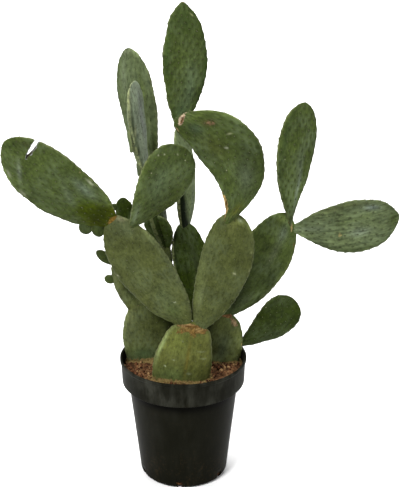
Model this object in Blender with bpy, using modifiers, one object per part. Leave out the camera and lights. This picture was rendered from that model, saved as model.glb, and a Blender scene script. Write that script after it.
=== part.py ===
"""Potted paddle cactus: a prickly-pear plant in a round nursery pot.

The plant is a tree of flat pads. Three base pads are rooted in the soil, and every other pad
or bud grows from the rim of the pad below it. Each one is described by how it grew: its parent,
the place on the parent's rim, its size, and the way it leans, nods and turns.

Metres, +Z up. The origin is the middle of the pot's underside, and the front is towards -Y.
"""

import math
from dataclasses import dataclass

import bmesh
import bpy
from mathutils import Vector

# Nursery pot
POT_HEIGHT = 0.243
RIM_RADIUS = 0.120
BAND_HEIGHT = 0.049
BAND_FOOT_RADIUS = 0.1175
BODY_TOP_RADIUS = 0.1045
FOOT_RADIUS = 0.084
FOOT_ROUNDING = 0.009
FOOT_ROUNDING_STEPS = 4
WALL = 0.0025
LIP_PROUD = 0.002
LIP_HEIGHT = 0.006
DRAIN_HOLES = 6
DRAIN_HOLE_RADIUS = 0.006
DRAIN_FIRST_ANGLE = -95.0
DRAIN_SLOPE = 45.0
DRAIN_SIDES = 12
POT_SIDES = 40

# Soil
SOIL_LEVEL = 0.224
SOIL_MOUND = 0.004
SOIL_CROWN = ((0.0, 1.0), (0.5, 0.8), (0.85, 0.2), (1.0, -1.0))
ROOT_DEPTH = 0.055

# Growth
GAP = 0.0003
SWELL = 0.0004
PAD_SIDES = 14
PAD_RINGS = 12
BUD_SIDES = 8
BUD_RINGS = 6
PAD_SEAT = 0.013
BUD_SEAT = 0.005
FACE_TAPER = 0.4
FACE_TIP = 0.5


@dataclass
class Growth:
    """One pad or bud. Lengths are in metres and angles in degrees."""

    parent: str = ""          # the piece that it grows from, or none for a rooted pad
    rim: float = 0.0          # place on the parent's rim, from its tip, + on its right side
    root: tuple = (0.0, 0.0)  # x and y of a rooted pad's lower end
    length: float = 0.2
    width: float = 0.1
    thick: float = 0.022
    lean: float = 0.0         # from upright towards +X
    nod: float = 0.0          # towards the front
    turn: float = 0.0         # of the flat face, from the front towards +X
    taper: float = 0.8        # how slowly it widens from its base; 0.5 is an ellipse
    tip: float = 0.5          # how slowly it closes at its tip; 0.5 is an ellipse
    bow: float = 0.0          # sideways bend of its middle line
    bow_at: float = 0.5       # station where the middle line is bent furthest
    beside: tuple = ()        # neighbours that its foot makes room for
    green: str = "green"


PADS = {
    "pad_base_front": Growth(
        root=(-0.014, -0.058), length=0.174, width=0.107, thick=0.040,
        lean=11, taper=0.41, tip=0.47, bow=-0.003, green="young"),
    "pad_base_left": Growth(
        root=(-0.049, 0.024), length=0.188, width=0.112, thick=0.038,
        lean=-6, taper=0.45, green="olive"),
    "pad_base_right": Growth(
        root=(0.038, 0.021), length=0.160, width=0.112, thick=0.038,
        lean=16, taper=0.40, bow=-0.004, green="olive"),
    "pad_front_left": Growth(
        parent="pad_base_front", rim=-14, length=0.266, width=0.101, lean=-31, nod=6,
        turn=-8, taper=0.88, tip=0.65, bow=-0.006, green="olive"),
    "pad_front_right": Growth(
        parent="pad_base_front", rim=13, length=0.234, width=0.093, lean=17, nod=-2,
        turn=-4, taper=0.80, tip=0.47, bow=0.010, beside=("pad_front_left",), green="olive"),
    "pad_rear_left": Growth(
        parent="pad_base_left", rim=-28, length=0.150, width=0.110, lean=20, nod=-6,
        turn=-4, taper=0.70, tip=0.60, bow=-0.009, green="deep"),
    "pad_rear_right": Growth(
        parent="pad_base_right", rim=-7, length=0.234, width=0.106, lean=33, nod=-9,
        turn=12, taper=0.71, tip=0.53, bow=0.011),
    "pad_rear_middle": Growth(
        parent="pad_base_right", rim=-45, length=0.199, width=0.074, lean=-12, nod=-11,
        turn=35, taper=0.73, tip=0.47, green="deep"),
    "pad_low_right": Growth(
        parent="pad_base_right", rim=69, length=0.149, width=0.080, thick=0.018, lean=43,
        nod=8, turn=12, taper=1.09, tip=0.45, bow=0.012, green="deep"),
    "pad_bent_top": Growth(
        parent="pad_front_right", rim=-28, length=0.217, width=0.120, lean=-13.5, nod=6,
        turn=-14, taper=1.03, tip=0.35, bow=0.052, bow_at=0.42),
    "pad_far_left": Growth(
        parent="pad_front_left", rim=-10, length=0.235, width=0.118, thick=0.020, lean=-49,
        nod=6, turn=-14, taper=0.72, tip=0.54, bow=-0.010),
    "pad_centre_left": Growth(
        parent="pad_front_left", rim=40, length=0.183, width=0.089, thick=0.020, lean=30,
        nod=9, turn=12, taper=0.97, tip=0.44, bow=0.007),
    "pad_middle_link": Growth(
        parent="pad_rear_middle", rim=5, length=0.200, width=0.055, thick=0.020, lean=-3,
        nod=1, turn=55, taper=0.50, tip=0.38, bow=0.010),
    "pad_crown": Growth(
        parent="pad_middle_link", length=0.233, width=0.081, thick=0.020, lean=2,
        nod=-6, turn=14, taper=1.00, tip=0.78, bow=0.008, green="deep"),
    "pad_left_link": Growth(
        parent="pad_rear_left", rim=14, length=0.142, width=0.078, thick=0.020, lean=-11,
        nod=-4, turn=75, taper=0.70, green="deep"),
    "pad_left_edge": Growth(
        parent="pad_left_link", rim=-41, length=0.208, width=0.062, thick=0.019, lean=-5.5,
        nod=2, turn=70, taper=1.15, tip=0.37, bow=-0.004, bow_at=0.62, green="pale"),
    "pad_left_crown": Growth(
        parent="pad_left_link", rim=22, length=0.243, width=0.081, thick=0.019, lean=-10.5,
        nod=-9, turn=-32, taper=0.97, tip=0.55, bow=-0.002),
    "pad_right_crown": Growth(
        parent="pad_rear_right", rim=8, length=0.226, width=0.082, thick=0.020, lean=6,
        nod=-8, turn=30, taper=1.08, tip=0.59, bow=-0.007, green="deep"),
    "pad_right_wing": Growth(
        parent="pad_rear_right", rim=28, length=0.205, width=0.099, thick=0.019, lean=81,
        nod=7, turn=-8, taper=1.06, tip=0.69, bow=0.011, beside=("pad_right_crown",),
        green="pale"),
    "pad_round_small": Growth(
        parent="pad_rear_left", rim=-46, length=0.095, width=0.034, thick=0.016, lean=-12,
        nod=-2, taper=0.60, tip=0.42, green="deep"),
    "pad_inner_small": Growth(
        parent="pad_rear_left", rim=25, length=0.079, width=0.049, thick=0.016, lean=-23,
        nod=14, turn=-20, taper=0.80, tip=0.40, beside=("pad_left_link",), green="deep"),
}

BUDS = {
    "bud_rear_left_upper": Growth(
        parent="pad_rear_left", rim=-93, length=0.042, width=0.017, thick=0.011, lean=-50,
        taper=0.7),
    "bud_rear_left_lower": Growth(
        parent="pad_rear_left", rim=-118, length=0.021, width=0.015, thick=0.010, lean=-75,
        taper=0.6),
    "bud_far_left_outer": Growth(
        parent="pad_far_left", rim=-134, length=0.026, width=0.021, thick=0.012, lean=165,
        taper=0.6),
    "bud_far_left_inner": Growth(
        parent="pad_far_left", rim=-147, length=0.029, width=0.020, thick=0.012, lean=165,
        taper=0.6, beside=("pad_front_left",)),
    "bud_left_edge_upper": Growth(
        parent="pad_left_edge", rim=-93, length=0.038, width=0.015, thick=0.009, lean=-16,
        turn=40, taper=0.6),
    "bud_left_edge_lower": Growth(
        parent="pad_left_edge", rim=-122, length=0.023, width=0.010, thick=0.007, lean=-16,
        turn=40, taper=0.6),
    "bud_round_small": Growth(
        parent="pad_round_small", rim=-48, length=0.015, width=0.010, thick=0.008, lean=-70,
        taper=0.6),
}

# The far left pad is torn: a wedge-shaped split runs in from its upper rim near the tip.
SPLIT_ALONG = 0.82
SPLIT_DEPTH = 0.043
SPLIT_OVERRUN = 0.022
SPLIT_OUTER_END = 0.016
SPLIT_END = 0.003
SPLIT_SLOPE = 5.0

PLASTIC_ROUGHNESS = 0.5
SOIL_ROUGHNESS = 0.9
SKIN_ROUGHNESS = 0.45
POT_COLOUR = (0.012, 0.012, 0.013)
SOIL_COLOUR = (0.080, 0.045, 0.025)
GREENS = {
    "green": (0.075, 0.125, 0.048),
    "deep": (0.043, 0.082, 0.028),
    "olive": (0.095, 0.130, 0.050),
    "young": (0.150, 0.190, 0.050),
    "pale": (0.140, 0.185, 0.115),
}


def remove_old_objects():
    for obj in list(bpy.data.objects):
        bpy.data.objects.remove(obj, do_unlink=True)


def new_collection(name):
    collection = bpy.data.collections.new(name)
    bpy.context.scene.collection.children.link(collection)
    return collection


def material(name, colour, roughness):
    made = bpy.data.materials.get(name)
    if made is None:
        made = bpy.data.materials.new(name)
        made.use_nodes = True
        shader = made.node_tree.nodes["Principled BSDF"]
        shader.inputs["Base Color"].default_value = (*colour, 1.0)
        shader.inputs["Roughness"].default_value = roughness
        shader.inputs["Metallic"].default_value = 0.0
    return made


def new_object(name, mesh, collection, finish=None):
    obj = bpy.data.objects.new(name, mesh)
    collection.objects.link(obj)
    if finish is not None:
        mesh.materials.append(finish)
    return obj


def cut(target, cutter):
    modifier = target.modifiers.new(cutter.name, "BOOLEAN")
    modifier.operation = "DIFFERENCE"
    modifier.object = cutter


def make_cutter(obj):
    obj.hide_render = True
    obj.display_type = "WIRE"
    return obj


def face_outwards(bm):
    bm.normal_update()
    if bm.calc_volume(signed=True) < 0:
        bmesh.ops.reverse_faces(bm, faces=bm.faces)
        bm.normal_update()


def frame_of(growth):
    """The directions along a pad, across it to its right, and out of its front face."""
    lean, nod, turn = (math.radians(a) for a in (growth.lean, growth.nod, growth.turn))
    along = Vector((math.sin(lean) * math.cos(nod), -math.sin(nod), math.cos(lean) * math.cos(nod)))
    front = Vector((0, -1, 0))
    face = (front - along * front.dot(along)).normalized()
    side = along.cross(face)
    across = side * math.cos(turn) - face * math.sin(turn)
    out = face * math.cos(turn) + side * math.sin(turn)
    return along, across, out


def swelling(station, taper, tip):
    """Share of the full width at a station from 0, the base, to 1, the tip."""
    widest = taper / (taper + tip)
    peak = widest ** taper * (1 - widest) ** tip
    station = min(max(station, 0.0), 1.0)
    return station ** taper * (1 - station) ** tip / peak


def middle_line(growth, station):
    """How far the middle of the pad lies to its right at a station."""
    return growth.bow * swelling(station, growth.bow_at / (1 - growth.bow_at), 1.0)


def place_in_pad(growth, base, station, aside, outward):
    along, across, out = frame_of(growth)
    right = middle_line(growth, station) + aside
    return base + along * growth.length * station + across * right + out * outward


def rim_point(growth, base, rim):
    angle = math.radians(rim)
    station = (1 + math.cos(angle)) / 2
    aside = math.copysign(swelling(station, growth.taper, growth.tip), angle) * growth.width / 2
    if rim == 0:
        aside = 0.0
    return place_in_pad(growth, base, station, aside, 0.0)


def base_of(growth, seat, bases):
    """The lower end of the pad's middle line: in the soil, or a little inside the parent's rim."""
    if not growth.parent:
        return Vector((*growth.root, SOIL_LEVEL - ROOT_DEPTH))
    along = frame_of(growth)[0]
    return rim_point(PADS[growth.parent], bases[growth.parent], growth.rim) - along * seat


def pad_mesh(name, growth, base, sides, rings, swell=0.0):
    """A sphere drawn out into a paddle: each ring takes the width and thickness of its station."""
    bm = bmesh.new()
    bmesh.ops.create_uvsphere(bm, u_segments=sides, v_segments=rings, radius=1.0)
    for vert in bm.verts:
        x, y, z = vert.co
        station = (1 + z) / 2
        spread = math.hypot(x, y)
        aside = outward = 0.0
        if 0.001 < station < 0.999:
            aside = x / spread * swelling(station, growth.taper, growth.tip) * growth.width / 2
            outward = y / spread * swelling(station, FACE_TAPER, FACE_TIP) * growth.thick / 2
        vert.co = place_in_pad(growth, base, station, aside, outward)
    face_outwards(bm)
    if swell:
        for vert, normal in [(vert, vert.normal.copy()) for vert in bm.verts]:
            vert.co += normal * swell
    mesh = bpy.data.meshes.new(name)
    bm.to_mesh(mesh)
    bm.free()
    mesh.shade_smooth()
    return mesh


def build_plant(parts, cutters):
    """Every pad and bud, each trimmed where it meets its parent and its close neighbours."""
    bases = {}
    moulds = {}
    for name, growth in [*PADS.items(), *BUDS.items()]:
        is_bud = name in BUDS
        sides, rings = (BUD_SIDES, BUD_RINGS) if is_bud else (PAD_SIDES, PAD_RINGS)
        bases[name] = base_of(growth, BUD_SEAT if is_bud else PAD_SEAT, bases)
        finish = material(f"cactus_{growth.green}", GREENS[growth.green], SKIN_ROUGHNESS)
        mesh = pad_mesh(name, growth, bases[name], sides, rings)
        pad = new_object(name, mesh, parts, finish)
        for neighbour in ((growth.parent,) if growth.parent else ()) + growth.beside:
            cut(pad, moulds[neighbour])
        if not is_bud:
            mould = pad_mesh(f"mould_{name}", growth, bases[name], sides, rings, SWELL)
            moulds[name] = make_cutter(new_object(f"mould_{name}", mould, cutters))
    split = make_cutter(split_cutter(bases["pad_far_left"], cutters))
    cut(parts.objects["pad_far_left"], split)
    return moulds


def split_cutter(base, cutters):
    """A wedge that opens towards the pad's upper rim."""
    pad = PADS["pad_far_left"]
    along, across, out = frame_of(pad)
    slope = math.radians(SPLIT_SLOPE)
    inward = -across * math.cos(slope) + along * math.sin(slope)
    width_way = out.cross(inward)
    mouth = rim_point(pad, base, math.degrees(math.acos(2 * SPLIT_ALONG - 1)))
    bm = bmesh.new()
    bmesh.ops.create_cube(bm, size=1.0)
    for vert in bm.verts:
        x, y, z = vert.co
        run = SPLIT_DEPTH if x > 0 else -SPLIT_OVERRUN
        half = (SPLIT_END if x > 0 else SPLIT_OUTER_END) / 2
        vert.co = mouth + inward * run + width_way * math.copysign(half, y) + out * z * pad.thick * 2
    face_outwards(bm)
    mesh = bpy.data.meshes.new("mould_split")
    bm.to_mesh(mesh)
    bm.free()
    return new_object("mould_split", mesh, cutters)


def turned(name, profile, collection, finish=None):
    """A closed body turned about Z from (radius, height) points that run down its outer side."""
    mesh = bpy.data.meshes.new(name)
    points = [(radius, 0.0, height) for radius, height in profile]
    mesh.from_pydata(points, [(i, i + 1) for i in range(len(points) - 1)], [])
    obj = new_object(name, mesh, collection, finish)
    screw = obj.modifiers.new("turn", "SCREW")
    screw.angle = math.tau
    screw.steps = POT_SIDES
    screw.render_steps = POT_SIDES
    screw.use_merge_vertices = True
    screw.merge_threshold = 0.00005
    return obj


def foot_corner(inset):
    """Points round the foot's rounded edge, from the wall down to the underside."""
    radius = FOOT_ROUNDING - inset
    centre = (FOOT_RADIUS - FOOT_ROUNDING, FOOT_ROUNDING)
    turns = [math.radians(90 * i / FOOT_ROUNDING_STEPS) for i in range(FOOT_ROUNDING_STEPS + 1)]
    return [(centre[0] + radius * math.cos(a), centre[1] - radius * math.sin(a)) for a in turns]


def build_pot(parts, cutters):
    band_foot = POT_HEIGHT - BAND_HEIGHT
    outside = [
        (RIM_RADIUS - WALL, POT_HEIGHT),
        (RIM_RADIUS, POT_HEIGHT - WALL / 2),
        (RIM_RADIUS, POT_HEIGHT - LIP_HEIGHT),
        (RIM_RADIUS - LIP_PROUD, POT_HEIGHT - LIP_HEIGHT - LIP_PROUD),
        (BAND_FOOT_RADIUS - LIP_PROUD / 2, band_foot),
        (BODY_TOP_RADIUS, band_foot),
        *foot_corner(0.0),
        (0.0, 0.0),
    ]
    inside = [
        (0.0, WALL),
        *reversed(foot_corner(WALL)),
        (BODY_TOP_RADIUS - WALL, band_foot + WALL),
        (BAND_FOOT_RADIUS - LIP_PROUD / 2 - WALL, band_foot + WALL),
        (RIM_RADIUS - LIP_PROUD - WALL, POT_HEIGHT - WALL),
    ]
    plastic = material("pot_plastic", POT_COLOUR, PLASTIC_ROUGHNESS)
    pot = turned("pot", outside + inside + outside[:1], parts, plastic)
    for index in range(DRAIN_HOLES):
        angle = math.radians(DRAIN_FIRST_ANGLE + 360 * index / DRAIN_HOLES)
        cut(pot, make_cutter(drain_cutter(index, angle, cutters)))


def drain_cutter(index, angle, cutters):
    """A short rod through the rounded edge of the foot."""
    bm = bmesh.new()
    bmesh.ops.create_cone(
        bm, cap_ends=True, segments=DRAIN_SIDES, radius1=DRAIN_HOLE_RADIUS,
        radius2=DRAIN_HOLE_RADIUS, depth=FOOT_ROUNDING * 2)
    mesh = bpy.data.meshes.new(f"drain_rod_{index}")
    bm.to_mesh(mesh)
    bm.free()
    rod = new_object(f"drain_rod_{index}", mesh, cutters)
    reach = FOOT_RADIUS - FOOT_ROUNDING / 3
    rod.location = (reach * math.cos(angle), reach * math.sin(angle), FOOT_ROUNDING / 3)
    rod.rotation_euler = (0.0, math.radians(DRAIN_SLOPE), angle)
    return rod


def build_soil(parts, moulds):
    band_foot = POT_HEIGHT - BAND_HEIGHT
    top_radius = BAND_FOOT_RADIUS - LIP_PROUD / 2 - WALL - GAP
    neck_radius = BODY_TOP_RADIUS - WALL - GAP
    foot = [(radius, height + GAP) for radius, height in foot_corner(WALL + GAP)]
    profile = [
        *[(top_radius * out, SOIL_LEVEL + SOIL_MOUND * up) for out, up in SOIL_CROWN],
        (top_radius, band_foot + WALL + GAP),
        (neck_radius, band_foot + WALL + GAP),
        *foot,
        (0.0, WALL + GAP),
    ]
    soil = turned("soil", profile, parts, material("potting_soil", SOIL_COLOUR, SOIL_ROUGHNESS))
    for name, growth in PADS.items():
        if not growth.parent:
            cut(soil, moulds[name])


def main():
    remove_old_objects()
    parts = new_collection("potted_paddle_cactus")
    cutters = new_collection("cutters")
    moulds = build_plant(parts, cutters)
    build_pot(parts, cutters)
    build_soil(parts, moulds)


main()
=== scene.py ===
# %% [markdown]
# # A paddle cactus in its nursery pot
#
# A prickly pear grows as a chain of flat green pads. Each pad is a stem, thick with water, under
# a tough waxy skin, and each new pad starts as a bud on the rim of an old one. This lesson builds
# the look of one such plant around a fixed frame of solids. The frame gives every size and place.
# The lesson gives the skin, its felted spine cushions, the corky scars, the soil and the pot.

# %% Load the frame
import math

import bmesh
import bpy
import numpy as np
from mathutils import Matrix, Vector
from mathutils.bvhtree import BVHTree


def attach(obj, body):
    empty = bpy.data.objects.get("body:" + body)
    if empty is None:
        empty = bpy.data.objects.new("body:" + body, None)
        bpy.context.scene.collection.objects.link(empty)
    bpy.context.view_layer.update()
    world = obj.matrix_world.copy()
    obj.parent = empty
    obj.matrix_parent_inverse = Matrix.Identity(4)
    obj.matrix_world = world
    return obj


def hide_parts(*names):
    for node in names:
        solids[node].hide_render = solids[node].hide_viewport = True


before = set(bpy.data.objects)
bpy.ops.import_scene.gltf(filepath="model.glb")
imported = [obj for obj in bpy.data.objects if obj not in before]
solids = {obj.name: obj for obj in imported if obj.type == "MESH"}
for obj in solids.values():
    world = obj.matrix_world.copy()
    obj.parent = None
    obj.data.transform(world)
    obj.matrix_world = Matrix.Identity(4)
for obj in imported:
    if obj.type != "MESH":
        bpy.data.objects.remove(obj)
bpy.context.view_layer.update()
MM = 0.001

# %% [markdown]
# ## How each pad grew
#
# A pad is known by the pad that it grew on. The table also says how its skin looks: the green of
# its wax and flesh, how much bloom lies on it, and how strong its lengthwise streaks are. Bloom is
# a powder of wax that the pad makes against the sun, and it rubs and rains away with age. An old
# pad is darker and greyer than a young one.
#
# Three lists make one pad different from the next. Corks are scars and scabs. Patches have another
# green, where the bloom has been rubbed off or a young part is still fresh, and some of the darkest
# are painted shadow, where a neighbour shades the pad. Tones make a place darker or paler. They and
# the shade of a pad were set for the brightness of the front view under this scene's lamps, so they
# hold painted shadow and highlight as well as the skin's own colour, and nothing tells the two
# apart. Under other lamps a plant without its tones, each pad with a shade of 1, is the fairer start.
#
# Each tone, patch and cork is a soft oval. Its place is given along the pad, from 0 at its joint to
# 1 at its tip, and across it, from -1 at the left rim to 1 at the right one. Then come its length
# and its width in millimetres and, if it lies aslant, its tilt in degrees.

# %% The pads, their parents and their greens
GREENS = {
    "deep": "#323f12",
    "leaf": "#485529",
    "olive": "#545b31",
    "young": "#5f6331",
    "pale": "#5d6946",
    "grey": "#6a7460",
}


def pad(on, green, **look):
    """One pad's looks, on top of what most pads share.

    The shade is how light it is here, set with the tones for this scene's lamps, so it holds
    painted light and shade as well as the skin's own lightness. The rim is how pale its edge, from
    thicker skin and a painted highlight, the spots how dark its areoles' ovals and how bright the
    painted highlight above them, and the joint how corky its ends. Stout and blunt widen its foot
    and its tip by so many millimetres. A tone starts with its factor, and a patch or a cork with its
    colour and strength.
    """
    shared = dict(shade=1.0, bloom=0.22, streak=0.4, rim=0.55, spots=0.5, joint=0.3, stout=0.0,
                  blunt=0.0, split=False, tones=[], patches=[], corks=[])
    return dict(shared, on=on, green=green, **look)


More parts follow.
